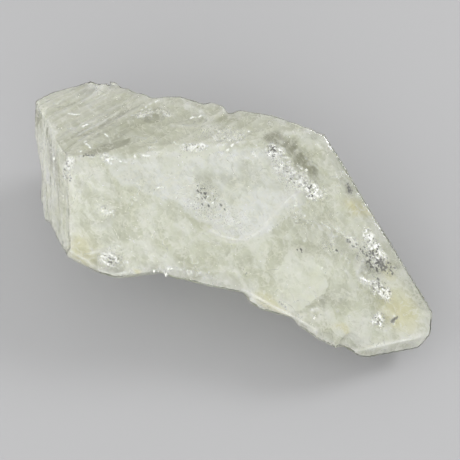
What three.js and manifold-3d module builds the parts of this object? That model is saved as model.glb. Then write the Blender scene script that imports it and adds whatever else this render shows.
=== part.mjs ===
// A rough quartz crystal lying on its side: one solid, in millimetres, +Z up, long axis along X with
// the natural point at +X. The side walls are drawn in from the outline to a flat foot, the large
// faces are cut off the top, then growth steps, splintered grooves, shell-shaped scars and edge chips
// are cut out. The origin is at the bottom, in the middle of the bounding box.
import * as THREE from "three";
import { mergeVertices } from "three/addons/utils/BufferGeometryUtils.js";
import Module from "manifold-3d";

const wasm = await Module();
wasm.setup();

const BLOCK = 300; // half spaces are boxes of this side
const MIDDLE = [0, 0, 15]; // a point inside, which every face looks away from
const JOIN_WITHIN = 1e-4; // corners closer than this are one corner
const COLOUR = 0xd5d8c8;
const ROUGHNESS = 0.25;
const SCAR_RINGS = 8;
const SCAR_RIPPLES = 2;
const WIDE_LOBES = 3; // the rim of a scar swings in and out this many times
const WIDE_LOBE_HEIGHT = 0.08;
const NARROW_LOBES = 5;
const NARROW_LOBE_HEIGHT = 0.05;
const SCAR_SEGMENTS = 10;
const SCAR_SEGMENTS_PER_MM = 1.2;
const SCAR_FLARE = 1.5;
const RIPPLE_SHARE = 0.05;
const PIT_LIP = 5; // pyramids stand this much taller than the pit is deep
const GROOVE_SIDES = 5;
const GROOVE_TAPER = 0.6;
const GROOVE_LIFT = 0.45;

// Outline seen from above, clockwise from the top corner of the broken heel.
const OUTLINE = [
  [-60.6, 11.3],
  [-58, 16.5],
  [-51.9, 22.4],
  [-43.3, 24.5],
  [-38.1, 24],
  [-29.7, 22.6],
  [-23.9, 25.4],
  [-15.7, 25.2],
  [-9.5, 24.7],
  [-7, 27.1],
  [-0.4, 28.4],
  [7.4, 28.9],
  [12.5, 28.3],
  [16.8, 28.5],
  [57.9, -1.6],
  [58.8, -7.7],
  [57, -11.1],
  [44.1, -20.2],
  [37.9, -20.5],
  [36.4, -21.7],
  [30.4, -21.9],
  [25.8, -21.2],
  [24.1, -19.9],
  [16.8, -21.3],
  [12.4, -20.9],
  [10.4, -19.2],
  [2.6, -20.9],
  [-5.9, -22.7],
  [-11.1, -23.5],
  [-15.1, -25],
  [-21.1, -27.1],
  [-26.3, -27.2],
  [-35.1, -25.3],
  [-40.9, -20.5],
  [-47.5, -15.6],
  [-53.3, -7.4],
  [-56, -3.1],
  [-56.2, 1.1],
  [-58.6, 4.2],
];

// Landmarks on the top, where the large faces meet.
const HEEL = [-60.6, 11.3, 32];
const HEEL_LOW = [-47.5, -15.6, 17];
const CREST_LEFT = [-38.2, -5.1, 40.1];
const CREST_MIDDLE = [-11.6, 11.6, 36.1];
const HEEL_CREASE_FRONT = [-41.9, -1.1, 39.2];
const HEEL_CREASE_BACK = [-29.1, 21.3, 34.2];
const HEEL_CORNER = [-44.4, -2.7, 39.3];
const SPINE_BACK = [5.6, 27, 34.6];
const SPINE_FRONT = [26.1, -20.3, 17.8];
const FRONT_CREASE = [-8.4, -23.6, 27.1];
const FRONT_LOW = [-37.4, -22, 28.2];
const TIP = [57.9, -1.6, 10];
const SHOULDER = [16.8, 28.5, 30.8];
const POINT_FOOT = [28.5, 11.5, 0];
const SLIVER_BACK = [41.2, -20.3, 12.3];
const SLIVER_TIP = [55, -10.1, 9.4];
const SLIVER_LOW = [44.1, -20.2, 8.8];
const TERRACE_FRONT = [-41.9, -1.1, 37.9];
const TERRACE_BACK = [-29.1, 21.3, 33.8];

// How the outline is drawn in below the girdle: scale and shift of x and y, share of the height.
const FOOT = { scaleX: 0.76, shiftX: 0, scaleY: 0.55, shiftY: 7, share: 0, drop: -3 };
const BELLY = { scaleX: 0.93, shiftX: 0, scaleY: 0.8, shiftY: 3, share: 0.5, drop: 0 };
const GIRDLE = { scaleX: 1, shiftX: 0, scaleY: 1, shiftY: 0, share: 1, drop: 0 };
const ABOVE = { scaleX: 1, shiftX: 0, scaleY: 1, shiftY: 0, share: 1, drop: 40 };
const RINGS = [FOOT, BELLY, GIRDLE, ABOVE];

const vector = (point) => new THREE.Vector3(...point);

// Direction with an azimuth from +X towards +Y and an elevation above the horizon, in degrees.
function direction(azimuth, elevation) {
  const a = THREE.MathUtils.degToRad(azimuth);
  const e = THREE.MathUtils.degToRad(elevation);
  return new THREE.Vector3(Math.cos(a) * Math.cos(e), Math.sin(a) * Math.cos(e), Math.sin(e));
}

// Face through three landmarks, looking outwards.
function faceThrough(a, b, c) {
  const plane = new THREE.Plane().setFromCoplanarPoints(vector(a), vector(b), vector(c));
  return plane.distanceToPoint(vector(MIDDLE)) > 0 ? plane.negate() : plane;
}

// Face with a given direction through a point.
function faceAt(azimuth, elevation, point) {
  return new THREE.Plane().setFromNormalAndCoplanarPoint(direction(azimuth, elevation), vector(point));
}

const MAIN = faceThrough(SPINE_BACK, SPINE_FRONT, CREST_LEFT);
const END = faceThrough(SPINE_BACK, SPINE_FRONT, TIP);
const BACK_SLOPE = faceThrough(CREST_LEFT, CREST_MIDDLE, HEEL_CREASE_BACK);
const HEEL_TOP = faceThrough(HEEL_CREASE_FRONT, HEEL_CREASE_BACK, HEEL);
const HEEL_END = faceThrough(HEEL, HEEL_CORNER, HEEL_LOW);
const FRONT_LEFT = faceThrough(CREST_LEFT, FRONT_CREASE, FRONT_LOW);
const SLIVER = faceThrough(SLIVER_BACK, SLIVER_TIP, SLIVER_LOW);
const TOP_FACES = [MAIN, END, BACK_SLOPE, HEEL_TOP, HEEL_END, FRONT_LEFT, SLIVER];

// Faces of the sides and the underside.
const SIDE_FACES = [
  faceThrough(SHOULDER, TIP, POINT_FOOT), // the long point face
  faceAt(-97, 22, [-26, -26.6, 24]), // bevel along the front of the heel
  faceAt(92, -11, [2, 28.6, 32]), // back prism face
  faceAt(140, -16, [-55.6, 20.4, 30]), // back of the heel
  faceAt(-163, -24, [-53.5, 2, 14]), // under the heel
  faceAt(-104, -43, [-28, -19, 10]), // front underside, heel end
  faceAt(-95, -47, [4, -15, 8]), // front underside, middle
  faceAt(-40, -64, [48, -12, 2.6]), // under the point
  faceAt(0, -90, [0, 0, 0]), // the flat foot
];

// Growth steps on the heel terrace: distance from the wall where each band starts and ends, depth.
const TERRACE_RISER = faceThrough(CREST_LEFT, TERRACE_FRONT, TERRACE_BACK);
const TERRACE = faceThrough(TERRACE_FRONT, TERRACE_BACK, HEEL);
const TERRACE_WALL = faceAt(150, 15, TERRACE_FRONT);
const TERRACE_BANDS = [
  [0, 1.6, 0.3],
  [4.2, 6.8, 0.4],
  [8.6, 9.6, 0.25],
  [11.8, 15.2, 0.4],
  [17.4, 18.6, 0.3],
];

// Splintered grooves of the broken end: start, end, radius.
const GROOVES = [
  [[-56.5, 9, 33.6], [-45.8, -12.4, 23.4], 1.1],
  [[-53.6, 7, 34.6], [-44.2, -11.6, 27.4], 0.8],
  [[-50, 3.2, 36.8], [-41.2, -16.4, 26.2], 1.2],
  [[-46.4, -1.2, 38.6], [-40, -14.6, 31], 0.9],
  [[-57.4, 7.2, 31.2], [-50.8, -7.6, 21.6], 1],
  [[-43.6, -6, 36.4], [-36.8, -21.4, 26.4], 0.8],
];

// Shell-shaped scars: centre, [azimuth, elevation] of the opening, radius, depth, stretch, spin in
// degrees. Most open a little askew, so that one rim is sharp and the other fades out.
const SCARS = [
  [[18.5, -8.2, 23.5], [-33, 66.3], 13.5, 1.2, 1.1, 20], // broad scar on the main face
  [[-0.5, 7.5, 32.3], [-36.5, 66], 17, 0.5, 0.85, 70], // dish below the crest
  [[-24.7, -23.6, 27.2], [-84, 42], 5.6, 0.6, 0.6, 10],
  [[-27.1, -15.3, 32.8], [-80, 52], 3.6, 0.3, 0.5, 60],
  [[-34, -10.4, 36.1], [-100, 50], 3, 0.3, 0.5, 130],
  [[-14, -9.5, 33], [-50, 74], 5.5, 0.5, 0.55, 100],
  [[-4.5, -17.6, 28], [-60, 62], 7, 0.6, 0.5, 15],
  [[10.5, -15.5, 24], [-70, 62], 6, 0.5, 0.5, 5],
  [[39.8, 1.5, 17.3], [-45, 66], 4.6, 0.6, 0.7, 45],
  [[45.3, -10.8, 13], [-10, 64], 3.8, 0.5, 0.7, 95],
  [[10.7, 20.8, 32.2], [-25, 76], 6.4, 0.6, 0.6, 150],
  [[24, 14, 27.2], [-10, 62], 5.4, 0.5, 0.5, 125],
  [[-22, 18, 35], [60, 72], 7.5, 0.7, 0.6, 30],
  [[-9, 20, 34.6], [110, 70], 6, 0.6, 0.6, 75],
  [[-36.5, 3.5, 39], [130, 66], 4.6, 0.6, 0.5, 60],
  [[6, 27.4, 33], [75, 62], 6, 0.6, 0.5, 5],
  [[-34, -17, 12], [-116, -34], 14, 2.4, 0.8, 20],
  [[-6, -18.6, 14.6], [-80, -34], 15, 2.6, 0.75, 80],
  [[23, -16.4, 9.4], [-92, -42], 11, 2, 0.8, 140],
  [[43, -5, 1.4], [-40, -64], 8, 0.6, 0.7, 60],
  [[-53, 0, 14], [-158, -14], 11, 1.8, 0.8, 35],
  [[-42, 21.5, 17], [126, -6], 14, 2, 0.7, 75],
  [[36, 10.2, 9], [46, -8], 10, 1.2, 0.7, 20],
  [[-12, 25.6, 13], [105, -6], 11, 1.2, 0.65, 100],
  [[14, 26.2, 22], [85, -20], 8, 0.9, 0.7, 60],
];

// Growth pits: centre, [azimuth, elevation], radius, depth, sides, spin in degrees.
const PITS = [
  [[29, -16, 17.6], [-29, 67], 1.7, 0.7, 4, 20],
  [[5.6, 17.2, 32.4], [-38, 69], 1.3, 1, 6, 10],
  [[8.4, 14.2, 31], [-38, 69], 0.8, 0.5, 5, 40],
  [[11.6, 13.4, 30], [-38, 69], 0.9, 0.5, 4, 15],
  [[13.4, 9.8, 28.6], [-38, 69], 0.7, 0.5, 5, 55],
];

// The ledge at the front, where a thin layer has split off.
const LEDGE_RISER = faceAt(-90, 12, [18, -18.8, 21]);
const LEDGE_DEPTH = 1.1;
const LEDGE_BLOCK = new THREE.BoxGeometry(21, 20, 30).translate(20, -22, 20);

// A small knob grown on the back edge.
const KNOB = new THREE.DodecahedronGeometry(2.9).scale(1.5, 0.9, 0.8).translate(-13.4, 24.7, 31.8);

// Chips along the edges: centre and radius.
const CHIPS = [
  [[-14.2, -26.8, 27.4], 2.6],
  [[-2, -24.4, 27.6], 3.2],
  [[5.6, -22.9, 25.6], 2.4],
  [[12.9, -23.4, 23.4], 2.2],
  [[21, -22.6, 21.4], 2],
  [[29.4, -24, 18.6], 2.4],
  [[34.4, -24.4, 17], 2.2],
  [[-30.4, -29, 26], 2.4],
  [[-44.8, -20.4, 21.4], 2.8],
  [[-52, -13, 18.8], 3],
  [[-57.2, -4.8, 22.4], 2.2],
  [[-59.8, 1.6, 28], 2.4],
  [[-34.6, 25.4, 34.8], 2.6],
  [[-26.4, 26.4, 35.8], 2],
  [[-10, 27, 35.2], 1.6],
  [[2.2, 31, 34.4], 2.2],
  [[22.4, 27.2, 30.4], 1.8],
  [[30.6, 21.2, 26], 1.6],
  [[40.4, 13.2, 20.8], 1.7],
  [[50.6, 5.6, 15.4], 1.6],
  [[60.2, -9.6, 10.4], 1.8],
  [[49.6, -18.2, 12.8], 1.8],
  [[-41.6, -3.4, 41.4], 1.8],
  [[-33.6, -3.4, 41.4], 1.5],
  [[-20, 5.4, 39.6], 1.4],
  [[-2.4, 17, 37.2], 1.5],
  [[57.4, 1, 11.8], 1.3],
];

// A closed three.js geometry as a solid; triangles that close up to a line at an axis are left out.
function solid(geometry) {
  const bare = geometry.clone();
  bare.deleteAttribute("normal");
  bare.deleteAttribute("uv");
  const merged = mergeVertices(bare, JOIN_WITHIN);
  const corners = merged.index.array;
  const kept = [];
  for (let i = 0; i < corners.length; i += 3) {
    const [a, b, c] = [corners[i], corners[i + 1], corners[i + 2]];
    if (a !== b && b !== c && c !== a) kept.push(a, b, c);
  }
  return new wasm.Manifold(
    new wasm.Mesh({
      numProp: 3,
      vertProperties: merged.attributes.position.array,
      triVerts: new Uint32Array(kept),
    }),
  );
}

// Turn that stands a geometry's axis, given as "y" or "z", along a direction.
function turnTo(outward, axis) {
  return new THREE.Quaternion().setFromUnitVectors(vector(axis === "y" ? [0, 1, 0] : [0, 0, 1]), outward);
}

// Everything on the outer side of a face, moved inwards by a depth.
function beyond(plane, depth = 0) {
  const start = plane.coplanarPoint(new THREE.Vector3()).addScaledVector(plane.normal, -depth);
  const box = new THREE.BoxGeometry(BLOCK, BLOCK, BLOCK).translate(0, 0, BLOCK / 2);
  return solid(box.applyQuaternion(turnTo(plane.normal, "z")).translate(start.x, start.y, start.z));
}

// A scar to be cut out: an uneven oval bowl with faint ripples, turned to its opening direction.
function scar([centre, [azimuth, elevation], radius, depth, stretch, spin]) {
  const profile = [];
  for (let i = 0; i <= SCAR_RINGS; i++) {
    const t = i / SCAR_RINGS;
    const ripple = RIPPLE_SHARE * depth * Math.sin(t * SCAR_RIPPLES * 2 * Math.PI) * t;
    profile.push(new THREE.Vector2(radius * t, depth * (t * t - 1) + ripple));
  }
  profile.push(new THREE.Vector2(radius * SCAR_FLARE, radius));
  profile.push(new THREE.Vector2(0, radius));
  const bowl = new THREE.LatheGeometry(profile, SCAR_SEGMENTS + Math.round(SCAR_SEGMENTS_PER_MM * radius));
  const position = bowl.attributes.position;
  const phase = THREE.MathUtils.degToRad(spin);
  for (let i = 0; i < position.count; i++) {
    const angle = Math.atan2(position.getZ(i), position.getX(i));
    const wide = WIDE_LOBE_HEIGHT * Math.sin(WIDE_LOBES * angle + phase);
    const narrow = NARROW_LOBE_HEIGHT * Math.sin(NARROW_LOBES * angle - phase);
    const reach = 1 + wide + narrow;
    position.setX(i, position.getX(i) * reach);
    position.setZ(i, position.getZ(i) * reach * stretch);
  }
  const turn = turnTo(direction(azimuth, elevation), "y");
  return solid(bowl.rotateY(phase).applyQuaternion(turn).translate(...centre));
}

// A long splinter groove between two points, cut with a five-sided rod.
function groove([start, end, radius]) {
  const top = HEEL_END.projectPoint(vector(start), new THREE.Vector3());
  const foot = HEEL_END.projectPoint(vector(end), new THREE.Vector3());
  const along = foot.clone().sub(top);
  const rod = new THREE.CylinderGeometry(radius, radius * GROOVE_TAPER, along.length(), GROOVE_SIDES);
  const middle = top.lerp(foot, 0.5).addScaledVector(HEEL_END.normal, GROOVE_LIFT * radius);
  rod.applyQuaternion(turnTo(along.normalize(), "y"));
  return solid(rod.translate(middle.x, middle.y, middle.z));
}

// A growth pit: an upside-down pyramid sunk into a face.
function pit([centre, [azimuth, elevation], radius, depth, sides, spin]) {
  const pyramid = new THREE.ConeGeometry(radius * PIT_LIP, depth * PIT_LIP, sides).rotateX(Math.PI);
  pyramid.translate(0, depth * (PIT_LIP / 2 - 1), 0).rotateY(THREE.MathUtils.degToRad(spin));
  return solid(pyramid.applyQuaternion(turnTo(direction(azimuth, elevation), "y")).translate(...centre));
}

function chip([centre, radius]) {
  return solid(new THREE.IcosahedronGeometry(radius, 1).translate(...centre));
}

// A band of the heel terrace, a little deeper than the terrace itself.
function terraceBand([from, to, depth]) {
  const strip = beyond(TERRACE_WALL, -from).subtract(beyond(TERRACE_WALL, -to));
  return strip.intersect(beyond(TERRACE, depth));
}

function topHeight(x, y) {
  const heights = TOP_FACES.map(
    ({ normal, constant }) => -(constant + normal.x * x + normal.y * y) / normal.z,
  );
  return Math.min(...heights);
}

// Side walls: an extruded outline whose rings are drawn in below the girdle.
function walls() {
  const shape = new THREE.Shape(OUTLINE.map(([x, y]) => new THREE.Vector2(x, y)));
  const levels = RINGS.length - 1;
  const prism = new THREE.ExtrudeGeometry(shape, { depth: levels, steps: levels, bevelEnabled: false });
  const position = prism.attributes.position;
  for (let i = 0; i < position.count; i++) {
    const x = position.getX(i);
    const y = position.getY(i);
    const ring = RINGS[Math.round(position.getZ(i))];
    const z = ring.share * topHeight(x, y) + ring.drop;
    position.setXYZ(i, x * ring.scaleX + ring.shiftX, y * ring.scaleY + ring.shiftY, z);
  }
  return solid(prism);
}

let body = walls().add(solid(KNOB));
for (const face of [...TOP_FACES, ...SIDE_FACES]) body = body.subtract(beyond(face));
body = body.subtract(beyond(TERRACE_RISER).intersect(beyond(TERRACE)));
for (const band of TERRACE_BANDS) body = body.subtract(terraceBand(band));
for (const cut of GROOVES) body = body.subtract(groove(cut));
for (const cut of SCARS) body = body.subtract(scar(cut));
for (const cut of PITS) body = body.subtract(pit(cut));
for (const cut of CHIPS) body = body.subtract(chip(cut));
body = body.subtract(beyond(LEDGE_RISER).intersect(beyond(MAIN, LEDGE_DEPTH)).intersect(solid(LEDGE_BLOCK)));

const mesh = body.getMesh();
const geometry = new THREE.BufferGeometry()
  .setAttribute("position", new THREE.BufferAttribute(mesh.vertProperties, 3))
  .setIndex(new THREE.BufferAttribute(mesh.triVerts, 1));
geometry.computeBoundingBox();
const { min, max } = geometry.boundingBox;
geometry.translate(-(min.x + max.x) / 2, -(min.y + max.y) / 2, -min.z);
const quartz = new THREE.MeshStandardMaterial({ color: COLOUR, roughness: ROUGHNESS });
const crystal = new THREE.Mesh(geometry, quartz);
crystal.name = "quartz_crystal";
const group = new THREE.Group();
group.add(crystal);
export default group;
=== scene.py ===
"""A rough quartz crystal, cloudy under a clear skin, on a pale floor in soft studio light."""

import math

import bmesh
import bpy
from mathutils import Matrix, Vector, noise
from mathutils.kdtree import KDTree


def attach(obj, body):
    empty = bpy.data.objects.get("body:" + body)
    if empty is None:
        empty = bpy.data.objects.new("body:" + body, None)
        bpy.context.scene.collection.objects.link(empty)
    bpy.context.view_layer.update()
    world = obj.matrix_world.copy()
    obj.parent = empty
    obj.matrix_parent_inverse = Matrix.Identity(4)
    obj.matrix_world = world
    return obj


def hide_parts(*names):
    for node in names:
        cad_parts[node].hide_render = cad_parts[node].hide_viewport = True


MM = 0.001
NOISE_SEED = 1  # noise vectors start from the clock unless a seed is set

# ---------------------------------------------------------------------------
# The crystal in numbers: millimetres, in its own frame
# ---------------------------------------------------------------------------
SKIN_CELL = 0.46  # edge length of the skin's mesh
SHARP = math.radians(20)  # a ridge is sharper than this
RIDGE_STEP = 0.3  # how close together a ridge's points are
RIDGE_REACH = 0.9  # a ridge is smoothed this far to each side
WORN_AWAY = 5  # a fully worn ridge counts as this much further off
FOOT_STAYS, FOOT_ENDS = 0.02, 1.0  # no relief below the first height, all of it above the second
SKIN_DEPTH = 1.5  # clear quartz over the cloud
SIDE_DEPTH = 1.3  # and how much more of it on the sides
SMOKE_DEPTH = 0.8  # and over a grey cloud
RIM_DEPTH = 0.5  # clear quartz over the cloud at a ridge
RIM_WIDTH = 3.4  # the cloud is drawn in fully this far from a ridge
LEAST_DEPTH = 0.12  # the cloud is nowhere nearer to the surface
PANE_REACH = 2.0  # how far outside a pane its edge is still known
TOP_ONLY = 9  # a pane's edge draws back this far where the surface faces sideways
PATCH_HEIGHT = 7  # half the height of every oval patch
PATCH_END = 1.15  # a patch is gone at this many half lengths
PATCH_FAR = 14  # no patch reaches further than this in plan

TERRACE_FACES = Vector((-0.161, 0.302, 0.94)).normalized()
STEPS_ALONG = Vector((0.487, 0.852, -0.19)).normalized()  # growth steps run this way
STEPS_ACROSS = STEPS_ALONG.cross(TERRACE_FACES).normalized()
STEPS_PER_MM = 0.3  # growth steps in each millimetre across them
HEEL_DOWN = Vector((0.36, -0.68, -0.64)).normalized()  # splinters run down the heel
GROWTH_AXIS = Vector((0.866, -0.5, 0)).normalized()  # cracks and wisps are drawn out this way
QUARTZ_IOR = 1.544

CAMERA_AZIMUTH = math.radians(20)
CAMERA_ELEVATION = math.radians(62)
CAMERA_DISTANCE = 209.65
LOOKED_AT = Vector((0.9, -0.87, 16))
FIELD_OF_VIEW = math.radians(33)
SENSOR_WIDTH = 36
FLOOR_REACH = 6  # metres to each side

# the white veil inside, in plan, with a crisp rim to the front right
VEIL_OUTLINE = [
    (-33, -4.5), (-27.5, -2), (-14.9, 6), (-10, 9.5), (-3, 14), (4, 17), (11, 16), (20.5, 12.4),
    (18.2, 7.5), (15.6, 3.9), (14.2, 0), (10.7, -3.9), (7.5, -7.2), (1.8, -8.8), (-6.8, -8.3), (-11.7, -6.6),
    (-18.4, -7.7), (-24.5, -8.2),
]

# darker panes with crisp edges, in plan: the first four are painted shade on the steps between the terrace
# and the crest, the last is a grey pane
SHADED_AND_DARK_PANES = [
    [(-36.8, -5.8), (-35.2, -2.5), (-33, 0.8), (-30.6, 3.4), (-28.1, 5.7), (-28.6, 2), (-30.9, -1.3),
     (-31.5, -2.9)],
    [(-38.4, 6.2), (-36.7, 10.3), (-34.7, 14.8), (-33.4, 17.5), (-33, 15.5), (-34.2, 11.2), (-35.2, 6.2),
     (-37, 4.6)],
    [(-42.9, -0.1), (-42, 3.3), (-40.4, 5.2), (-38.6, 4.2), (-36.1, 3.5)],
    [(-27.8, 11.8), (-28.3, 14.9), (-26.4, 19.6), (-23.5, 19.6), (-22.9, 14.9), (-25.9, 11.9)],
    [(26.6, 18.2), (28.6, 18.2), (29.3, 16.2), (27.7, 15.7)],
]

# lighter panes with crisp edges, in plan: the first is painted light in the lower part of the dish-shaped
# scar on the main face
PALE_AND_LIT_PANES = [
    [(9.2, -12.6), (19.6, -7.6), (26, -3.6), (27.9, -6), (29.9, -7.1), (31, -8.5), (30.7, -11.1), (29, -12.6),
     (26.8, -16.6), (23.6, -19.2), (13.3, -20.3), (11, -17.7)],
    [(-17.5, 4.9), (-14.4, 7.7), (-11.9, 10.3), (-9, 12), (-4.9, 13.6), (-5.1, 11.8), (-9, 7.6),
     (-13.5, 5.1)],
    [(-42.3, -7.6), (-39.3, -5.8), (-36.4, -9), (-37, -12.6), (-40, -11.5)],
]

# soft grey clouds: centre, half length, half width, turn in plan, strength
SMOKE = [
    ((6, 20.8, 33.1), 4, 2.6, -10, 1.1),
    ((10.6, 20, 31.6), 4.6, 3, -25, 1.3),
    ((13.9, 18.4, 30.3), 4, 3.5, -45, 1.4),
    ((16.8, 16.6, 29), 3.6, 2.8, -50, 1.1),
    ((19.7, 3.2, 25.3), 4.5, 1.8, -10, 0.6),
    ((30.6, -13, 18), 5, 2.8, 60, 0.8),
    ((34.6, -10, 17.4), 5.5, 3.4, 45, 0.35),
    ((25.8, 6.9, 23.8), 5, 3, -20, 0.4),
    ((30, 12.5, 24), 4, 3, -40, 0.25),
    ((-5.5, 1.2, 32.4), 5.5, 3, -25, 0.45),
    ((-21.5, -5.1, 35.7), 4, 2.4, -20, 0.3),
    ((-4.4, 14, 35), 4, 2.2, 20, 0.35),
    ((2.6, 9.5, 31.7), 4.5, 2.6, -20, 0.35),
    ((26.7, 2.3, 22.6), 4.5, 1.7, -20, 0.5),
    ((22.6, -2.7, 22.8), 3.6, 2.2, 10, 0.5),
    ((24, 2, 23), 10, 6.5, -20, 0.4),
    ((37.5, 0.8, 18.6), 4.6, 2.2, -25, 0.45),
    ((-33.8, -0.8, 38.8), 5, 1.7, 58, 0.35),
    ((-30.5, 7, 37.2), 7, 2.4, 62, 0.35),
    ((-1.2, 5.2, 31.8), 6, 2, 25, 0.4),
    ((-10.6, -23, 27.3), 3.5, 1.1, 10, 0.6),
    ((26, -19.8, 17.7), 3.5, 1.0, -15, 0.8),
    ((34.5, -21.6, 14.6), 3.5, 1.0, -10, 0.8),
    ((-8, 21.5, 33.6), 8, 1.6, 5, 0.35),
]

# soft milky clouds: centre, half length, half width, turn in plan, strength
MILK = [
    ((-25.1, -16.5, 32.2), 5, 3, -20, 0.5),
    ((-17.1, -16.4, 31.8), 6, 4, -20, 0.45),
    ((-33.2, 3.4, 38), 4, 2, 55, 0.4),
    ((-17.5, 5.1, 36.8), 6, 2.5, 25, 0.6),
    ((-10.7, 8.5, 35.6), 6, 3, 25, 0.5),
    ((26, -18.1, 18.5), 6, 2.5, -15, 0.7),
    ((34.9, 5.6, 20.4), 4.5, 3, -35, 1.0),
    ((15, 9.5, 29), 6, 4, -15, 0.5),
    ((-22, 15, 35.5), 5, 3, 45, 0.3),
]

# yellow iron tint: centre, half length, half width, turn, strength
HONEY = [
    ((31.8, 13.7, 22.9), 5.5, 3.3, 10, 0.85),
    ((50, -6.5, 12.5), 8.5, 6.5, -20, 0.7),
    ((43.5, 2.5, 16.5), 5, 2.2, -40, 0.5),
    ((-29.9, -24.3, 26), 7, 5, -20, 0.6),
    ((-15.2, -24.6, 27), 2.2, 0.9, 0, 0.8),
    ((38, -17.2, 14.6), 4, 1.2, 5, 0.7),
    ((20, -20, 19.5), 9, 2, -12, 0.6),
]

# glittering clusters of little cracks, their white and dark flecks painted reflections: centre, half length,
# half width, turn, strength
CRACKS = [
    ((6.6, 17, 32), 2.8, 2.4, 0, 1.0),
    ((10.2, 14.2, 30.8), 5, 3.4, -25, 0.6),
    ((14.4, 13, 29), 4.8, 3.4, -20, 0.75),
    ((19.4, 11.8, 27.3), 3.4, 2.6, -35, 0.95),
    ((39.6, 5.2, 18.4), 4.4, 2.2, -35, 1.05),
    ((36.6, 8.1, 20.2), 2.6, 1.8, -30, 0.9),
    ((33, 4.6, 20.8), 2.4, 1.3, 0, 0.7),
    ((40.6, 3, 17.4), 4, 1.8, -20, 0.7),
    ((38.8, -3.4, 16.8), 2.4, 1.6, -50, 0.6),
    ((42.6, -3.2, 15.8), 2.8, 1.8, 0, 0.85),
    ((45, -3.9, 14.9), 2.4, 1.8, -30, 1.0),
    ((45.2, -11, 13), 2.2, 1.9, 60, 1.0),
    ((49.3, -9.2, 11.9), 0.8, 1.6, 20, 0.8),
    ((-22.7, -24.2, 26.4), 3.4, 2, 5, 0.9),
    ((-39.6, -8.8, 37.6), 2.8, 2, 50, 0.8),
    ((-12.4, 8.7, 36.2), 4, 1.5, 24, 0.8),
    ((-23.3, 16.4, 34.9), 2.2, 1.2, 20, 0.7),
    ((-28.6, 14.4, 35.6), 3.6, 1.8, 50, 0.6),
    ((-6, 15.5, 34.8), 7, 2.6, 25, 0.45),
    ((-26.6, -15, 33.6), 2.6, 1.3, -10, 0.6),
    ((-31.2, -3.8, 38.8), 1.6, 1.0, -60, 0.6),
]

# grainy places, grey and white by turns: centre, half length, half width, turn, strength
SPECKS = [
    ((-4.6, -1.4, 31.4), 5.5, 3.6, -25, 1.3),
    ((-5, -5.6, 30.8), 8, 2.2, -8, 0.8),
    ((3, -4.5, 28.6), 7, 4, 0, 0.6),
    ((11.5, 12.8, 30), 5.5, 4, -25, 1.0),
    ((6.5, 17, 32), 5, 3.8, 0, 0.7),
    ((20, 12.4, 27), 5, 3.6, -30, 0.9),
    ((-39.6, -8.8, 37.5), 3.6, 2.8, 50, 0.9),
    ((38, 3, 18.5), 8, 4.5, -30, 0.9),
    ((43.5, -4, 15.4), 5, 3.6, -30, 0.8),
    ((45.5, -11.2, 13), 3.5, 3, 0, 0.7),
    ((-22, -23.5, 27.5), 5, 3, 0, 0.7),
    ((-8, 15.5, 35), 10, 4, 20, 0.7),
    ((-27, 14.5, 35.5), 5, 2.5, 45, 0.6),
    ((19, 3.4, 25.5), 5, 2, -10, 0.8),
    ((28.5, 0.6, 21.6), 5, 3, 0, 0.6),
    ((-27, -15, 33.5), 4, 2.5, -20, 0.5),
]

# places full of little dark dashes: centre, half length, half width, turn, strength
DASHES = [
    ((35.8, 3.2, 19.3), 3.6, 1.8, -20, 0.75),
    ((40, 2.2, 17.6), 4.6, 2.4, -20, 1.0),
    ((43.8, 3, 16.5), 2.6, 1.8, -30, 0.95),
    ((41, -1.2, 16.6), 3.4, 1.4, -25, 0.6),
    ((44.6, -2.4, 15.2), 2.6, 1.4, -30, 0.6),
    ((32, 4.2, 21), 2.4, 1, -10, 0.6),
    ((29.6, -0.4, 21), 2, 1, -40, 0.45),
    ((45.2, -11.4, 13), 1.8, 1.3, 60, 0.6),
    ((49.3, -9.2, 11.9), 1.2, 0.8, 20, 0.7),
    ((-5.2, -2, 31.5), 4.6, 2.6, -20, 0.45),
    ((0, -3.4, 29.6), 4.5, 1.6, -20, 0.3),
    ((19.3, 11.4, 27.3), 2.4, 1.3, -30, 0.5),
    ((12.5, 14, 29.6), 3, 2, -30, 0.3),
    ((-39.6, -8.8, 37.6), 1.8, 1.3, 50, 0.6),
    ((-38, -10.8, 37), 1.4, 0.8, 40, 0.5),
    ((21, -3.7, 23), 3, 1, -20, 0.3),
]

# white seams, thin bright strokes with painted glints among them, and thin dark nicks with a painted shadow
# among them, in plan: line, reach to each side, strength
SEAMS = [
    ([(-31.2, -3.8), (-27.5, -2.6), (-23.2, 1.4), (-14.9, 5.3)], 2.4, 0.8),
    ([(-14.9, 5.3), (-12.1, 5.8), (-7.5, 8.9), (-3.9, 12.9), (-0.4, 18)], 2.4, 0.6),
    ([(1.8, -8.8), (7.5, -7.2), (10.7, -3.9), (14.2, 0), (15.6, 3.9)], 1.6, 0.7),
    ([(18.2, 7.5), (24.6, 8.4), (28.9, 10.5)], 2.4, 0.6),
    ([(22.4, 4.6), (26.5, 3.9), (31, 4.4)], 1.5, 0.7),
    ([(26.7, -4.1), (30.6, -8.2), (30.9, -10.8), (26.7, -16.1)], 1.6, 0.65),
    ([(-10.8, -24.3), (-4.7, -20.8), (3, -19.5)], 2.4, 0.8),
    ([(-24.5, -8.2), (-18.4, -7.7), (-11.7, -6.6)], 2.0, 0.5),
]
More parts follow.
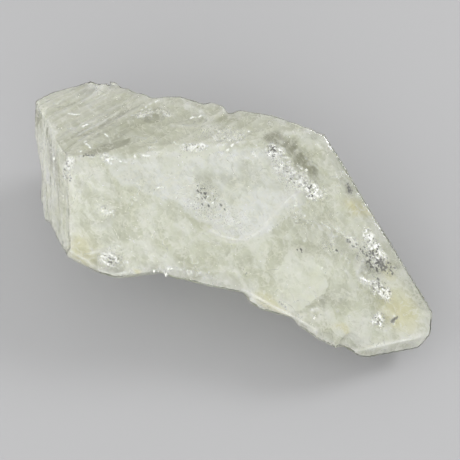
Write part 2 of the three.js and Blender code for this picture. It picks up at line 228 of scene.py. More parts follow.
# the short strokes around the crest and on the terrace at the broken end are painted glints, the rest white
# marks
STROKES_AND_GLINTS = [
    ([(-37.1, -5.9), (-32.4, -3.9)], 0.8, 1.0),
    ([(-50.5, -0.1), (-44.8, -0.8), (-42.2, 3), (-40.3, 4.8), (-39.3, 8.1), (-37.7, 11.2)], 0.8, 0.95),
    ([(-42, 4.7), (-40.8, 5.9)], 1.1, 1.2),
    ([(-47.8, 8.4), (-46.1, 8.1), (-44.8, 8.9)], 1.3, 1.1),
    ([(-37.9, -1.2), (-35.6, -2.3)], 1.2, 1.2),
    ([(-35.3, 3.7), (-32.7, 2.5)], 1.0, 1.1),
    ([(-30.8, -3.9), (-29.1, -4.4)], 1.2, 1.2),
    ([(-38.4, -4.8), (-37.6, -4.1)], 1.1, 1.2),
    ([(-38.7, -1.4), (-37.8, -0.3)], 0.9, 1.0),
    ([(-30.9, -3.7), (-27.6, -2.9), (-24.5, -2.2)], 0.9, 1.0),
    ([(-25.8, -0.7), (-24.4, 1.1), (-21.9, 1.3)], 1.0, 1.0),
    ([(-13.2, 8), (-11.7, 9.9), (-9.5, 10.4)], 2.0, 1.1),
    ([(-4.7, 11.4), (-2.7, 15.2)], 0.9, 1.1),
    ([(-5.8, 12.5), (-4.1, 15.6)], 0.8, 1.0),
    ([(-1.4, 19.2), (-0.6, 19.5)], 1.0, 1.2),
    ([(-31.7, 12.1), (-29.1, 14.6)], 0.8, 1.0),
    ([(-30, 11.7), (-28.3, 14.1)], 0.8, 1.0),
    ([(-30.1, 14.8), (-28.8, 18.4), (-26.9, 20.7)], 0.8, 1.1),
    ([(-17.3, 18.3), (-14.5, 20.5)], 1.2, 1.1),
    ([(-17.3, 4.6), (-13.5, 5.1), (-9, 7.6), (-5.1, 11.8)], 0.7, 0.9),
    ([(-22, -21.3), (-20.2, -21.2)], 0.9, 1.0),
    ([(-21.1, -24.3), (-17.6, -23.9)], 1.1, 1.0),
    ([(-10.4, -23.9), (-8.4, -22.3), (-5.5, -20.9)], 0.9, 1.0),
    ([(-46.8, -3.2), (-46, -5.6), (-44.8, -8.8)], 0.9, 1.05),
    ([(-54.3, 10.7), (-52.6, 11.4)], 0.9, 1.0),
    ([(-57.6, 9.5), (-56.8, 9.9)], 0.8, 1.0),
    ([(-46.8, 2.7), (-44.6, 3), (-43.5, 4.2)], 0.9, 0.95),
    ([(-16.5, -4.3), (-18.1, -7)], 0.9, 1.0),
    ([(-16.5, -4.3), (-15, -4.1)], 0.9, 1.0),
    ([(-28.3, -15), (-26.8, -15.4), (-25.2, -14.5)], 1.2, 1.0),
    ([(28, -16.9), (29.4, -15.4), (31.3, -16.2), (29.9, -17.8), (28, -16.9)], 0.7, 1.0),
    ([(35.5, 8.5), (37.5, 7.8)], 1.0, 1.1),
    ([(38.6, 6.1), (40.6, 5.4)], 1.0, 1.1),
    ([(40.2, 5.7), (42.6, 5.3)], 1.0, 1.1),
    ([(38.5, 3.8), (40.6, 2.6)], 0.9, 1.0),
    ([(41, -3.1), (43.5, -3.8)], 0.9, 1.0),
    ([(43.5, -2.7), (45.7, -3.3)], 0.9, 1.1),
    ([(42.8, -5), (45.3, -4.8)], 0.9, 1.0),
    ([(37.9, -2.1), (39.9, -5)], 0.8, 0.9),
    ([(44, -10.6), (46.2, -10)], 1.0, 1.1),
    ([(19.2, 4.7), (19.6, 5.1)], 0.9, 1.2),
    ([(16.4, 12.4), (18.2, 11.2)], 0.9, 1.0),
    ([(24.8, 15), (28.5, 14.1)], 0.7, 0.9),
]
# the first nick is a painted shadow along the crest, the rest dark nicks
NICKS_AND_SHADOW = [
    ([(-36.4, -5.3), (-33.8, -4.2)], 0.8, 0.9),
    ([(27.4, 17.8), (28.4, 16.4)], 1.3, 1.1),
    ([(6.2, 17.3), (6.8, 17)], 0.85, 1.15),
    ([(6.9, 15.6), (7.1, 15.4)], 0.6, 1.1),
    ([(20.2, -17.9), (22.6, -18.9)], 0.8, 0.85),
    ([(9.4, -14.2), (10.8, -15.8)], 0.8, 0.7),
    ([(31.3, 4.3), (32.6, 3.8)], 0.8, 1.0),
    ([(33.7, 3.6), (34.7, 3.3)], 0.7, 0.9),
    ([(35.1, 1.6), (35.7, 0.8)], 0.8, 1.0),
    ([(36, 3.6), (37.4, 2.7)], 0.8, 1.0),
    ([(38.6, 1.7), (40.1, 0.9)], 0.8, 1.0),
    ([(40.4, 2.1), (41.4, 3)], 0.8, 1.1),
    ([(41, 4.2), (42, 3.6)], 0.8, 1.1),
    ([(42.3, 2.8), (43.2, 2.5)], 0.9, 1.2),
    ([(42.5, 1.4), (43.1, 2.1)], 0.8, 1.0),
    ([(44.5, 3.1), (45.6, 3.4)], 0.8, 1.0),
    ([(42, -1.2), (42.6, -1.4)], 0.8, 1.0),
    ([(48.7, -10), (49.8, -8.2)], 0.8, 1.1),
    ([(-40.4, -7.4), (-39.6, -8.2)], 0.7, 0.9),
    ([(-38.2, -10.4), (-37.6, -11)], 0.7, 0.9),
]

# ridges worn round: one end, other end, reach to each side, how much is worn off
WORN = [
    ((-36, -6.5, 39.8), (-9, -24.5, 27.5), 7, 0.75),
    ((-27, 0.5, 38.8), (7.9, 22.5, 33.4), 5, 0.6),
    ((-42, -6, 38.5), (-35, -24, 26), 4.5, 0.8),
    ((-58.5, 7.5, 32), (-43, -3.5, 38.2), 4, 0.6),
]

# a hollow in the terrace's back edge, filled out: centre, reach, how much
FILLED = (Vector((-45, 21.8, 29.5)), 6.5, 1.4)


# ---------------------------------------------------------------------------
# Masks in the crystal's own frame
# ---------------------------------------------------------------------------
def ramp(low, high, value):
    """0 at low, 1 at high, smooth between."""
    t = min(1.0, max(0.0, (value - low) / (high - low)))
    return t * t * (3 - 2 * t)


def wandering(point, size, reach, seed=0.0):
    """The point moved about, so that what is drawn from it has an uneven outline."""
    return point + noise.noise_vector(point / size + Vector((seed, seed, seed))) * reach


def patches(point, table, inner=0.25):
    """The strongest of the oval patches of a table at this point."""
    best = 0.0
    for centre, along, across, turn, strength in table:
        x, y, z = point.x - centre[0], point.y - centre[1], point.z - centre[2]
        if math.hypot(x, y) > PATCH_FAR or abs(z) > PATCH_HEIGHT * PATCH_END:
            continue
        c, s = math.cos(math.radians(turn)), math.sin(math.radians(turn))
        reach = math.hypot((x * c + y * s) / along, (y * c - x * s) / across, z / PATCH_HEIGHT)
        best = max(best, strength * (1 - ramp(inner, PATCH_END, reach)))
    return best


def to_line(point, a, b):
    """Distance in plan to the straight line between two places."""
    dx, dy = b[0] - a[0], b[1] - a[1]
    t = ((point.x - a[0]) * dx + (point.y - a[1]) * dy) / (dx * dx + dy * dy)
    t = min(1.0, max(0.0, t))
    return math.hypot(point.x - a[0] - t * dx, point.y - a[1] - t * dy)


def inside(point, outline):
    """Signed distance into an outline in plan, above zero inside."""
    nearest, within = math.inf, False
    for a, b in zip(outline, outline[1:] + outline[:1]):
        nearest = min(nearest, to_line(point, a, b))
        crosses = (a[1] > point.y) != (b[1] > point.y)
        if crosses and point.x < a[0] + (point.y - a[1]) * (b[0] - a[0]) / (b[1] - a[1]):
            within = not within
    return nearest if within else -nearest


def near(point, places, reach):
    """Whether the point is within reach of the box around some places in plan."""
    xs, ys = zip(*places)
    return min(xs) - reach < point.x < max(xs) + reach and min(ys) - reach < point.y < max(ys) + reach


def inside_panes(point, panes):
    """Signed distance into the nearest of several panes."""
    depths = [inside(point, outline) for outline in panes if near(point, outline, PANE_REACH)]
    return max(depths + [-PANE_REACH])


def glow(point, lines):
    """How near the point is to the nearest of several lines in plan."""
    best = 0.0
    for line, reach, strength in lines:
        if near(point, line, reach):
            gap = min(to_line(point, a, b) for a, b in zip(line, line[1:]))
            best = max(best, strength * (1 - gap / reach))
    return best


def chips(point, size, seed):
    """Flat little chips, each tilted its own way."""
    place = point / size + Vector((seed, 0, 0))
    centre = noise.voronoi(place)[1][0]
    return (place - centre).dot(noise.noise_vector(centre * 3.1)) * size


def ripple(point, size):
    """Soft waves of a size, between -1 and 1."""
    return noise.noise(point / size)


def on_terrace(point, facing):
    """1 on the stepped terrace at the broken end, 0 elsewhere."""
    return ramp(0.6, 0.85, facing.z) * ramp(-34, -39, point.x) * ramp(-3, 1, point.y)


def on_slope(facing):
    """1 on the long back face and the terrace, 0 elsewhere: these faces, turned up and to the back, get
    painted shade.
    """
    return ramp(0.6, 0.85, facing.z) * ramp(-0.12, 0.1, facing.y)


def on_back(facing):
    """1 on the upright faces at the back, 0 elsewhere."""
    return ramp(0.45, 0.15, abs(facing.z)) * ramp(0.2, 0.6, facing.y)


def on_heel(facing):
    """1 on the splintered faces at the broken end, 0 elsewhere."""
    return ramp(-0.35, -0.7, facing.x) * ramp(-0.6, -0.1, facing.z)


def on_underside(facing):
    """1 on the faces that draw in towards the foot, 0 on the foot and above."""
    return ramp(0.15, -0.3, facing.z) * ramp(-0.999, -0.97, facing.z)


# ---------------------------------------------------------------------------
# The skin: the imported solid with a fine, weathered surface
# ---------------------------------------------------------------------------
def merged_copy(node):
    """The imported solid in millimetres, with its loose triangles joined up."""
    bm = bmesh.new()
    bm.from_mesh(node.data)
    bmesh.ops.remove_doubles(bm, verts=bm.verts, dist=1e-6)
    bmesh.ops.scale(bm, vec=(1 / MM,) * 3, verts=bm.verts)
    bm.normal_update()
    return bm


def ridge_points(bm):
    """A search tree of points along the solid's ridges."""
    points = []
    for edge in bm.edges:
        if len(edge.link_faces) != 2 or not edge.is_convex or edge.calc_face_angle(0) < SHARP:
            continue
        a, b = edge.verts[0].co, edge.verts[1].co
        count = max(1, int((b - a).length / RIDGE_STEP))
        points += [a.lerp(b, i / count) for i in range(count + 1)]
    tree = KDTree(len(points))
    for i, point in enumerate(points):
        tree.insert(point, i)
    tree.balance()
    return tree


def smooth(bm, verts, times):
    """Evens out some points of a mesh."""
    for _ in range(times):
        bmesh.ops.smooth_vert(bm, verts=verts, factor=0.5, use_axis_x=True, use_axis_y=True, use_axis_z=True)


def even_mesh(bm, cell):
    """A closed mesh of even squares over a solid, its ridges a little softened."""
    coarse = bpy.data.meshes.new("coarse")
    bm.to_mesh(coarse)
    holder = bpy.data.objects.new("coarse", coarse)
    bpy.context.scene.collection.objects.link(holder)
    remesh = holder.modifiers.new("even", "REMESH")
    remesh.mode = "VOXEL"
    remesh.voxel_size = cell
    shaped = holder.evaluated_get(bpy.context.evaluated_depsgraph_get())
    even = bmesh.new()
    even.from_mesh(shaped.to_mesh())
    shaped.to_mesh_clear()
    bpy.data.objects.remove(holder)
    bpy.data.meshes.remove(coarse)
    smooth(even, even.verts, 2)
    return even


def worn(point):
    """How much is worn off a ridge here, and how near the worn ridge is."""
    depth, nearest = 0.0, 0.0
    for a, b, reach, drop in WORN:
        a, b = Vector(a), Vector(b)
        t = min(1.0, max(0.0, (point - a).dot(b - a) / (b - a).length_squared))
        close = 1 - (point - a.lerp(b, t)).length / reach
        if close > 0:
            depth, nearest = depth + drop * close * close, max(nearest, close)
    return depth, nearest


def relief(point, facing, rim):
    """How far the surface stands out (+) or in (-) here."""
    height = 0.10 * ripple(point, 9) + 0.035 * ripple(point, 2.6) - worn(point)[0]
    centre, reach, lift = FILLED
    height += lift * ramp(reach, 0.3 * reach, (point - centre).length) * ramp(0.1, 0.6, facing.y)
    terrace = on_terrace(point, facing)
    if terrace > 0:
        across = point.dot(STEPS_ALONG.cross(facing).normalized()) + 0.3 * ripple(point, 7)
        height += 0.02 * terrace * ripple(Vector((across, 0, 0)), 1.3)
    back = on_back(facing)
    if back > 0:
        along = point.dot(GROWTH_AXIS) + 0.5 * ripple(point, 6)
        height += 0.07 * back * noise.noise(Vector((along / 1.4, 0, point.z / 40)))
    heel = on_heel(facing)
    if heel > 0:
        drawn = point - HEEL_DOWN * point.dot(HEEL_DOWN) * 0.9
        height -= heel * (0.3 * abs(ripple(drawn, 2.4)) + 0.12 * abs(ripple(drawn, 1.1)))
    under = on_underside(facing)
    if under > 0:
        height += under * (0.07 * chips(point, 6, 4) + 0.06 * ripple(point, 1.7))
    cracked = patches(wandering(point, 1.6, 0.8), CRACKS)
    if cracked > 0:
        height += cracked * (0.16 * chips(point, 1.6, 9) - 0.03)
    chipped = ramp(1.3, 0.1, rim) * ramp(0.2, 0.55, ripple(point, 3.6) + 0.3 * ripple(point, 1.2))
    if chipped > 0:
        height -= chipped * (0.08 + 0.08 * chips(point, 1.6, 2))
    return height


def carve(node):
    """The skin's points, with how far each is from a ridge, and from one that is still sharp."""
    solid = merged_copy(node)
    low = Vector(map(min, zip(*(v.co for v in solid.verts))))
    high = Vector(map(max, zip(*(v.co for v in solid.verts))))
    ridges = ridge_points(solid)
    skin = even_mesh(solid, SKIN_CELL)
    solid.free()

    ridge = skin.verts.layers.float.new("ridge")
    rim = skin.verts.layers.float.new("rim")
    for vert in skin.verts:
        vert[ridge] = ridges.find(vert.co)[2]
        vert[rim] = vert[ridge] + WORN_AWAY * worn(vert.co)[1]
    smooth(skin, [vert for vert in skin.verts if vert[ridge] < RIDGE_REACH], 3)
    skin.normal_update()
    spots = []
    for vert in skin.verts:
        moved = relief(vert.co, vert.normal, vert[rim]) * ramp(FOOT_STAYS, FOOT_ENDS, vert.co.z)
        spot = vert.co + vert.normal * moved
        spots.append(Vector(min(max(c, a), b) for c, a, b in zip(spot, low, high)))
    for vert, spot in zip(skin.verts, spots):
        vert.co = spot
    skin.normal_update()
    return skin


def finish_mesh(bm, name):
    """A smooth-shaded object in metres from a mesh in millimetres."""
    bmesh.ops.scale(bm, vec=(MM,) * 3, verts=bm.verts)
    mesh = bpy.data.meshes.new(name)
    bm.to_mesh(mesh)
    mesh.shade_smooth()
    made = bpy.data.objects.new(name, mesh)
    bpy.context.scene.collection.objects.link(made)
    return made


def mark(skin):
    """What both materials follow, kept at each point: the veil and panes as distances, the rest from 0 up."""
    names = (
        "veil", "dark_and_shade", "pale", "smoke", "milk", "honey", "seam", "shaded_slope", "heel", "cracks", "specks",
        "dashes", "stroke_and_glint", "nick_and_shadow",
    )
    layers = {name: skin.verts.layers.float.new(name) for name in names}
    for vert in skin.verts:
        point, facing = vert.co, vert.normal
        up = ramp(-0.1, 0.35, facing.z)
        lost = TOP_ONLY * (1 - up)
        uneven = wandering(point, 2.5, 0.4)
        close = wandering(point, 1.6, 0.8)
        vert[layers["veil"]] = inside(wandering(point, 5, 1.6, 5.0), VEIL_OUTLINE) - lost
        vert[layers["dark_and_shade"]] = inside_panes(uneven, SHADED_AND_DARK_PANES) - lost
        vert[layers["pale"]] = inside_panes(uneven, PALE_AND_LIT_PANES) - lost
        vert[layers["smoke"]] = up * patches(wandering(point, 3.5, 1.4), SMOKE)
        vert[layers["milk"]] = up * patches(wandering(point, 3.5, 1.4, 4.0), MILK)
        vert[layers["honey"]] = patches(wandering(point, 4, 1.6, 9.0), HONEY)
        vert[layers["seam"]] = up * glow(wandering(point, 2.2, 0.7, 3.0), SEAMS)
        # where faces turned up and to the back get painted shade
        vert[layers["shaded_slope"]] = on_slope(facing)
        vert[layers["heel"]] = on_heel(facing)
        vert[layers["cracks"]] = patches(close, CRACKS, 0.5)
        vert[layers["specks"]] = patches(close, SPECKS)
        vert[layers["dashes"]] = patches(close, DASHES, 0.4)
        vert[layers["stroke_and_glint"]] = up * glow(wandering(point, 1.4, 0.3, 7.0), STROKES_AND_GLINTS)
        vert[layers["nick_and_shadow"]] = up * glow(point, NICKS_AND_SHADOW)


def cloud(skin):
    """The cloudy heart of the crystal: the skin drawn in, shallow at ridges and deeper in the grey clouds."""
    heart = skin.copy()
    ridge, smoke = heart.verts.layers.float["ridge"], heart.verts.layers.float["smoke"]
    spots = []
    for vert in heart.verts:
        point = vert.co
        depth = SKIN_DEPTH * (1 + 0.3 * ripple(point, 6.5) + 0.25 * ripple(point, 2.4))
        depth += SMOKE_DEPTH * vert[smoke] + SIDE_DEPTH * ramp(0.5, 0.1, vert.normal.z)
        depth = RIM_DEPTH + (depth - RIM_DEPTH) * ramp(0.2, RIM_WIDTH, vert[ridge])
        spot = point - vert.normal * max(LEAST_DEPTH, depth)
        spot.z = max(spot.z, LEAST_DEPTH)
        spots.append(spot)
    for vert, spot in zip(heart.verts, spots):
        vert.co = spot
    return heart


# ---------------------------------------------------------------------------
# Shader writing
# ---------------------------------------------------------------------------
class Wire:
    """A socket that can be used in plain arithmetic."""

    def __init__(self, board, socket):
        self.board = board
        self.socket = socket

    def _do(self, operation, *values, clamp=False):
        settings = {"operation": operation, "use_clamp": clamp}
        return self.board.node("ShaderNodeMath", settings, dict(enumerate(values)))

    def __add__(self, other):
        return self._do("ADD", self, other)

    def __radd__(self, other):
        return self._do("ADD", other, self)

    def __sub__(self, other):
        return self._do("SUBTRACT", self, other)

    def __rsub__(self, other):
        return self._do("SUBTRACT", other, self)

    def __mul__(self, other):
        return self._do("MULTIPLY", self, other)

    def __rmul__(self, other):
        return self._do("MULTIPLY", other, self)

    def __abs__(self):
        return self._do("ABSOLUTE", self)

    def clamp(self):
        return self._do("ADD", self, 0.0, clamp=True)

    def most(self, *others):
        """The largest of several values."""
        best = self
        for other in others:
            best = best._do("MAXIMUM", best, other)
        return best

    def fraction(self):
        return self._do("FRACT", self)


class Board:
    """The node tree of one material."""

    def __init__(self, name):
        self.material = bpy.data.materials.new(name)
        self.material.use_nodes = True
        self.tree = self.material.node_tree
        self.tree.nodes.clear()

    def node(self, kind, settings=None, inputs=None, output=0):
        made = self.tree.nodes.new(kind)
        for name, value in (settings or {}).items():
            setattr(made, name, value)
        for name, value in (inputs or {}).items():
            if isinstance(value, Wire):
                self.tree.links.new(value.socket, made.inputs[name])
            else:
                made.inputs[name].default_value = value
        return Wire(self, made.outputs[output])

    def soft(self, value, low, high):
        """0 at low, 1 at high, smooth between; falls if low is above high."""
        settings = {"interpolation_type": "SMOOTHSTEP"}
        ends = (low, high, 0.0, 1.0) if low < high else (high, low, 1.0, 0.0)
        return self.node("ShaderNodeMapRange", settings, dict(enumerate((value, *ends))))

    def mix(self, amount, first, second):
        return self.node("ShaderNodeMix", {"data_type": "RGBA"}, {0: amount, 6: first, 7: second}, output=2)

    def laid_over(self, ground, tones):
        """Tones laid over each other in turn, each by its own amount."""
        for amount, tone in tones:
            ground = self.mix(amount.clamp(), ground, srgb(*tone))
        return ground

    def layer(self, name):
        return self.node("ShaderNodeAttribute", {"attribute_name": name}, {}, output=2)

    def millimetres(self):
        coords = self.node("ShaderNodeTexCoord", {}, {}, output=3)
        return self.node("ShaderNodeVectorMath", {"operation": "SCALE"}, {0: coords, 3: 1 / MM})

    def noise(self, where, scale, detail=3.0, rough=0.5, output=0):
        inputs = {"Vector": where, "Scale": scale, "Detail": detail, "Roughness": rough}
        return self.node("ShaderNodeTexNoise", {}, inputs, output)

    def surface(self, inputs):
        return self.node("ShaderNodeBsdfPrincipled", {}, inputs)

    def warp(self, where, scale, reach):
        """The place moved about by a noise."""
        push = self.noise(where, scale, 3.0, 0.55, output=1)
        ends = {0: push, 1: (2 * reach,) * 3, 2: (-reach,) * 3}
        moved = self.node("ShaderNodeVectorMath", {"operation": "MULTIPLY_ADD"}, ends)
        return self.node("ShaderNodeVectorMath", {"operation": "ADD"}, {0: where, 1: moved})

    def dot(self, where, axis):
        return self.node("ShaderNodeVectorMath", {"operation": "DOT_PRODUCT"}, {0: where, 1: axis}, output=1)

    def drawn_out(self, where, axis, keep):
        """The place squeezed along an axis, for streaks that run that way."""
        pull = self.dot(where, tuple(axis)) * (keep - 1)
        moved = self.node("ShaderNodeVectorMath", {"operation": "SCALE"}, {0: tuple(axis), 3: pull})
        return self.node("ShaderNodeVectorMath", {"operation": "ADD"}, {0: where, 1: moved})

    def cells(self, where, scale):
        """A crazed pattern: how far its cells' middles are, a random colour and a random number for each."""
        made = self.node("ShaderNodeTexVoronoi", {}, {"Vector": where, "Scale": scale})
        colour = Wire(self, made.socket.node.outputs[1])
        return made, colour, self.node("ShaderNodeSeparateColor", {}, {0: colour})

    def flakes(self, where, scale):
        """Flat flakes around 0.5, each of its own tone and tilted its own way, with crisp edges."""
        gap, colour, own = self.cells(where, scale)
        centre = Wire(self, gap.socket.node.outputs[2])
        away = self.node("ShaderNodeVectorMath", {"operation": "SUBTRACT"}, {0: where, 1: centre})
        lean = self.node("ShaderNodeVectorMath", {"operation": "SUBTRACT"}, {0: colour, 1: (0.5, 0.5, 0.5)})
        return 0.2 + 0.6 * own + 1.4 * scale * self.dot(away, lean)

    def plates(self, where):
        """Large flat breaks drawn out along the growth axis."""
        bent = self.drawn_out(self.warp(where, 0.12, 3), GROWTH_AXIS, 0.6)
        return self.flakes(self.warp(bent, 0.8, 0.4), 0.15)

    def chips(self, where):
        """Small flat breaks drawn out along the growth axis."""
        bent = self.drawn_out(self.warp(where, 0.3, 1.6), GROWTH_AXIS, 0.45)
        return self.flakes(self.warp(bent, 1.1, 0.4), 0.5)

    def splinters(self, where, scale):
        """Long splinters that run down the heel."""
        return self.noise(self.drawn_out(where, HEEL_DOWN, 0.07), scale, 3, 0.55)

    def stairs(self, where):
        """Grows slowly across each growth step from 0 to 1, then falls at once."""
        wander = self.noise(self.drawn_out(where, STEPS_ALONG, 0.15), 0.12, 2)
        return (STEPS_PER_MM * self.dot(where, tuple(STEPS_ACROSS)) + 2.5 * wander).fraction()

    def dots(self, where, scale, share):
        """Separate dots, one in each cell of the given share of cells."""
        gap, _, own = self.cells(where, scale)
        return self.soft(gap, 0.5, 0.36) * self.soft(own + share, 1.0, 1.04)

    def threads(self, where, scale, width, detail=5.0):
        """Thin wandering lines."""
        return self.soft(abs(self.noise(where, scale, detail, 0.64) - 0.5), width, 0.0)

    def finish(self, surface, volume=None):
        out = self.tree.nodes.new("ShaderNodeOutputMaterial")
        self.tree.links.new(surface.socket, out.inputs["Surface"])
        if volume:
            self.tree.links.new(volume.socket, out.inputs["Volume"])
        return self.material


def srgb(red, green, blue):
    """A screen colour, 0 to 255, as linear light."""
    def one(value):
        c = value / 255
        return c / 12.92 if c <= 0.04045 else ((c + 0.055) / 1.055) ** 2.4
    return (one(red), one(green), one(blue), 1.0)


def cloudy_quartz():
    """The heart: pale olive cloud with a white veil, wisps, grey panes and a little yellow, with painted
    shade on the back faces and the steps, painted light in a scar and a painted highlight along the ridges.
    """
    b = Board("cloudy_quartz")
    p = b.millimetres()
    q = b.warp(b.warp(p, 0.1, 5), 0.4, 1.3)
    fine = b.warp(p, 0.8, 0.9)
    fog = b.noise(q, 0.09, 4, 0.55)
    billow = b.noise(q, 0.28, 3, 0.6)
    mottle = b.noise(fine, 0.55, 3, 0.6)
    ragged = b.noise(fine, 0.9, 3, 0.6)
    wisps = b.noise(b.drawn_out(b.warp(p, 0.25, 2.2), GROWTH_AXIS, 0.35), 1.3, 2, 0.6)
    plates, chips, stairs, splinters = b.plates(p), b.chips(p), b.stairs(p), b.splinters(fine, 0.5)

    veil = b.soft(b.layer("veil") + 3.4 * (billow - 0.5), -0.3, 0.9)
    dark_and_shade, pale = b.layer("dark_and_shade") + 0.7 * (ragged - 0.5), b.layer("pale") + 0.6 * (ragged - 0.5)
    smoke, honey, heel = b.layer("smoke"), b.layer("honey"), b.layer("heel")
    seam, shaded_slope, rim = b.layer("seam"), b.layer("shaded_slope"), b.layer("rim")
    patchy = b.soft(fog + 0.5 * (mottle - 0.5), 0.35, 0.62)
    # the big pane, painted light in the scar, fades out away from its crisp front edge
    faded = b.soft(b.dot(p, tuple(GROWTH_AXIS)), 20, 30).most(b.soft(b.dot(p, (1, 0, 0)), 5, 3))
    pale_and_lit_pane = b.soft(pale, -0.1, 0.15) * faded
    lively = 1 - 0.6 * shaded_slope.most(pale_and_lit_pane)

    ground = b.mix(b.soft(fog + 0.8 * (billow - 0.5), 0.36, 0.64), srgb(231, 233, 219), srgb(242, 244, 234))
    tone = b.laid_over(ground, [
        # painted shade: the faces turned up and to the back are darker
        (0.4 * shaded_slope, (212, 212, 197)),
        (0.55 * b.soft(plates, 0.55, 0.8) * lively, (250, 251, 244)),
        (0.5 * b.soft(plates, 0.45, 0.2) * lively, (208, 210, 194)),
        (veil * (0.5 + 0.5 * patchy), (251, 253, 252)),
        (b.layer("milk") * (0.3 + 0.8 * mottle), (250, 252, 244)),
        (smoke * (0.3 + 1.1 * billow), (172, 172, 155)),
        # the pale panes; the big one is painted light in the scar
        (0.95 * pale_and_lit_pane, (250, 252, 242)),
        (0.35 * b.soft(chips, 0.55, 0.8) * lively, (252, 253, 248)),
        (0.25 * b.soft(chips, 0.45, 0.2) * lively, (196, 198, 182)),
        (0.45 * b.soft(wisps, 0.54, 0.7) * lively, (253, 254, 248)),
        (0.3 * b.soft(wisps, 0.46, 0.3) * lively, (190, 191, 176)),
        # the dark panes: painted shade on the steps at the broken end, and one grey pane
        (0.7 * b.soft(dark_and_shade, -0.1, 0.2) * b.soft(mottle, 0.1, 0.6), (178, 178, 162)),
        (honey * (0.25 + 0.8 * fog), (231, 223, 162)),
        # the painted shade there, darker in bands across the growth steps
        (0.35 * shaded_slope * stairs * stairs, (172, 172, 155)),
        (0.8 * heel * b.soft(splinters, 0.48, 0.38), (166, 166, 150)),
        (0.5 * heel * b.soft(splinters, 0.53, 0.64), (248, 248, 240)),
        (0.7 * b.threads(q, 0.24, 0.03, 2) * (1 - 0.5 * smoke), (255, 255, 248)),
        (0.5 * b.threads(fine, 0.4, 0.028, 1) * b.soft(fog, 0.4, 0.55), (255, 255, 246)),
        (0.6 * b.soft(seam + 1.2 * (mottle - 0.5), 0.5, 0.8), (252, 253, 251)),
        # lighter along the ridges: partly frosted wear, partly a painted highlight
        (0.3 * b.soft(rim, 1.4, 0.2), (250, 250, 245)),
    ])
    return b.finish(b.surface({
        "Base Color": tone,
        "Roughness": 1.0,
        "Specular IOR Level": 0.0,
        "Subsurface Weight": 0.35,
        "Subsurface Radius": (1.0, 1.0, 0.8),
        "Subsurface Scale": 4 * MM,
    }))


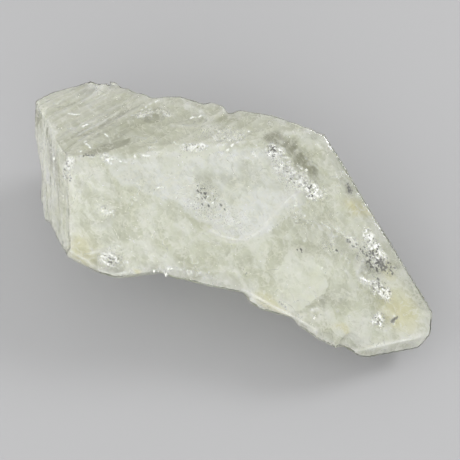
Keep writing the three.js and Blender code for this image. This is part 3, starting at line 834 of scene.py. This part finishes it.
def clear_quartz():
    """The skin: clear quartz with frosted cracks, grain, strokes, splinters and chipped ridges; among its
    white and dark marks are painted glints, a painted highlight along the ridges and a painted shadow.
    """
    b = Board("clear_quartz")
    p = b.millimetres()
    q = b.warp(p, 0.9, 0.5)
    tight = b.warp(p, 2.0, 0.3)
    cracks, specks = b.layer("cracks"), b.layer("specks")
    stroke_and_glint, nick_and_shadow = b.layer("stroke_and_glint"), b.layer("nick_and_shadow")
    rim, seam, heel, shaded_slope = b.layer("rim"), b.layer("seam"), b.layer("heel"), b.layer("shaded_slope")
    cell = b.cells(b.drawn_out(q, GROWTH_AXIS, 0.6), 2.2)[2]
    fleck = b.cells(tight, 2.4)[2]
    lace = b.threads(b.warp(p, 1.0, 0.9), 0.9, 0.06, 2)
    dashes = b.dots(b.drawn_out(tight, GROWTH_AXIS, 0.45), 1.7, 0.7 * b.layer("dashes"))
    grain = b.noise(tight, 1.8, 2, 0.6)
    broken = b.noise(b.warp(p, 1.2, 0.6), 1.5, 2, 0.6)
    cloudlet = b.noise(q, 0.9, 3, 0.6)
    hairs = b.threads(b.drawn_out(b.warp(p, 0.2, 2), GROWTH_AXIS, 0.5), 0.26, 0.014, 1)
    plates, chips, stairs, splinters = b.plates(p), b.chips(p), b.stairs(p), b.splinters(q, 0.6)
    busy = b.noise(p, 0.13, 3)

    # painted reflections: white flecks in the crack clusters
    white = (cracks * b.soft(cell + 0.33 * cracks, 1.0, 1.12) * b.soft(cloudlet, 0.44, 0.54)).clamp()
    white = white.most(
        (cracks * b.soft(fleck + 0.22 * cracks, 0.98, 1.06)).clamp(),
        (0.9 * cracks * lace).clamp(),
        (0.6 * specks * b.soft(grain, 0.55, 0.65)).clamp(),
        # white strokes, the ones at the crest and the terrace painted glints
        0.8 * b.soft(stroke_and_glint + 1.6 * (broken - 0.5), 0.86, 1.04),
        0.6 * b.soft(seam + 2.2 * (broken - 0.5), 0.85, 1.1),
        0.28 * heel * b.soft(splinters, 0.55, 0.66),
        # frost along the ridges: partly frosted wear, partly a painted highlight
        0.25 * b.soft(rim, 0.5, 0.1) * b.soft(busy, 0.45, 0.6),
        0.3 * hairs * b.soft(busy, 0.46, 0.6),
    )
    # painted reflections: dark flecks in the crack clusters, beside the white ones
    dark_and_shade = (cracks * b.soft(fleck, 0.2, 0.12)).clamp().most(
        dashes,
        (0.75 * specks * b.soft(grain, 0.42, 0.34)).clamp(),
        # dark nicks, the first of them a painted shadow along the crest
        0.95 * b.soft(nick_and_shadow + 1.6 * (broken - 0.5), 0.6, 0.78),
    )

    crumbs = b.cells(q, 1.5)[0]
    waves = b.noise(q, 0.45, 4, 0.5)
    # every part of the relief is even about its middle, so that none lifts its place as a whole
    height = 0.3 * (waves - 0.5) + 0.5 * cracks * (crumbs - 0.45) + 0.35 * heel * (splinters - 0.5)
    height = height + 1.2 * (plates - 0.5) + 0.5 * (chips - 0.5) + 0.3 * shaded_slope * (stairs - 0.5)
    height = height * b.soft(rim, 0.1, 1.4)
    bump = b.node("ShaderNodeBump", {}, {"Strength": 0.5, "Distance": 0.5 * MM, "Height": height})
    rough = (0.035 + 0.06 * b.soft(cloudlet, 0.45, 0.7) + 0.1 * heel + 0.08 * cracks).clamp()

    shade = b.mix(b.soft(plates, 0.42, 0.25), (1, 1, 1, 1), (0.95, 0.95, 0.92, 1))
    # painted shade: the glass is a little darker on the faces turned up and to the back, in bands across the
    # growth steps
    shade = b.mix((shaded_slope * stairs * stairs).clamp(), shade, (0.93, 0.93, 0.9, 1))
    both = {"IOR": QUARTZ_IOR, "Normal": bump}
    glass = b.surface({"Base Color": shade, "Roughness": rough, "Transmission Weight": 1.0, **both})
    # the frost draws frosted marks and also the painted glints, highlight, reflections and shadow
    frost_glint_and_shadow_tone = b.mix(dark_and_shade, srgb(234, 235, 232), srgb(70, 70, 66))
    frost_glints_and_shadow = b.surface({"Base Color": frost_glint_and_shadow_tone, "Roughness": 0.45, **both})
    mixed = b.node("ShaderNodeMixShader", {}, {0: white.most(0.9 * dark_and_shade), 1: glass, 2: frost_glints_and_shadow})
    tint = b.node("ShaderNodeVolumeAbsorption", {}, {"Color": (0.82, 0.85, 0.68, 1), "Density": 30.0})
    return b.finish(mixed, tint)


# ---------------------------------------------------------------------------
# Studio
# ---------------------------------------------------------------------------
def pale_floor():
    """A wide matt floor under the crystal."""
    bm = bmesh.new()
    bmesh.ops.create_grid(bm, x_segments=1, y_segments=1, size=FLOOR_REACH)
    mesh = bpy.data.meshes.new("floor")
    bm.to_mesh(mesh)
    bm.free()
    floor = bpy.data.objects.new("floor", mesh)
    bpy.context.scene.collection.objects.link(floor)
    b = Board("pale_floor")
    coords = b.node("ShaderNodeTexCoord", {}, {}, output=3)
    tone = b.mix(b.noise(coords, 3.0, 2.0), (0.36, 0.36, 0.37, 1), (0.39, 0.39, 0.40, 1))
    mesh.materials.append(b.finish(b.surface({"Base Color": tone, "Roughness": 0.8})))


def softbox(name, where, size, power):
    """A soft lamp that shines at the crystal: place and size in metres, power in watts."""
    data = bpy.data.lights.new(name, "AREA")
    data.shape = "RECTANGLE"
    data.size, data.size_y = size
    data.energy = power
    lamp = bpy.data.objects.new(name, data)
    lamp.location = where
    lamp.rotation_euler = (-Vector(where)).to_track_quat("-Z", "Y").to_euler()
    bpy.context.scene.collection.objects.link(lamp)


def studio():
    """An even, pale surround and three soft lamps."""
    world = bpy.data.worlds.new("studio")
    world.use_nodes = True
    sky = world.node_tree.nodes["Background"]
    sky.inputs["Color"].default_value = (0.98, 0.98, 0.96, 1)
    sky.inputs["Strength"].default_value = 0.83
    bpy.context.scene.world = world
    bpy.context.scene.view_settings.view_transform = "Standard"
    softbox("key", (0.55, 0.6, 0.6), (0.35, 0.3), 4.2)
    softbox("left fill", (-0.85, -0.45, 0.45), (1.4, 1.0), 6.4)
    softbox("front fill", (0.35, -0.85, 0.5), (1.3, 0.9), 5.5)


def camera():
    """Looks down on the crystal from the front, a little to its right."""
    side = Vector((math.sin(CAMERA_AZIMUTH), -math.cos(CAMERA_AZIMUTH), 0))
    back = side * math.cos(CAMERA_ELEVATION) + Vector((0, 0, math.sin(CAMERA_ELEVATION)))
    data = bpy.data.cameras.new("camera")
    data.sensor_width = SENSOR_WIDTH
    data.lens = 0.5 * SENSOR_WIDTH / math.tan(FIELD_OF_VIEW / 2)
    data.clip_start, data.clip_end = 0.01, 20
    made = bpy.data.objects.new("camera", data)
    made.location = (LOOKED_AT + back * CAMERA_DISTANCE) * MM
    made.rotation_mode = "QUATERNION"
    made.rotation_quaternion = (-back).to_track_quat("-Z", "Y")
    bpy.context.scene.collection.objects.link(made)
    bpy.context.scene.camera = made


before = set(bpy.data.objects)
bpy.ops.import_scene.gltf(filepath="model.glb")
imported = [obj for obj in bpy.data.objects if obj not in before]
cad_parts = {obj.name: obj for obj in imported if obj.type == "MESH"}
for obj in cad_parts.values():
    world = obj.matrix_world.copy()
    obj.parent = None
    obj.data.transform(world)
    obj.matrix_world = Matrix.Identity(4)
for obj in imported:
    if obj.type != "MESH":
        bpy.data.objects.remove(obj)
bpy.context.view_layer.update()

camera()
studio()
pale_floor()

noise.seed_set(NOISE_SEED)
skin_mesh = carve(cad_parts["quartz_crystal"])
mark(skin_mesh)
heart_mesh = cloud(skin_mesh)
skin = finish_mesh(skin_mesh, "crystal_skin")
heart = finish_mesh(heart_mesh, "crystal_heart")
skin.data.materials.append(clear_quartz())
heart.data.materials.append(cloudy_quartz())
for piece in (skin, heart):
    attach(piece, "root")
    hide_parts("quartz_crystal")
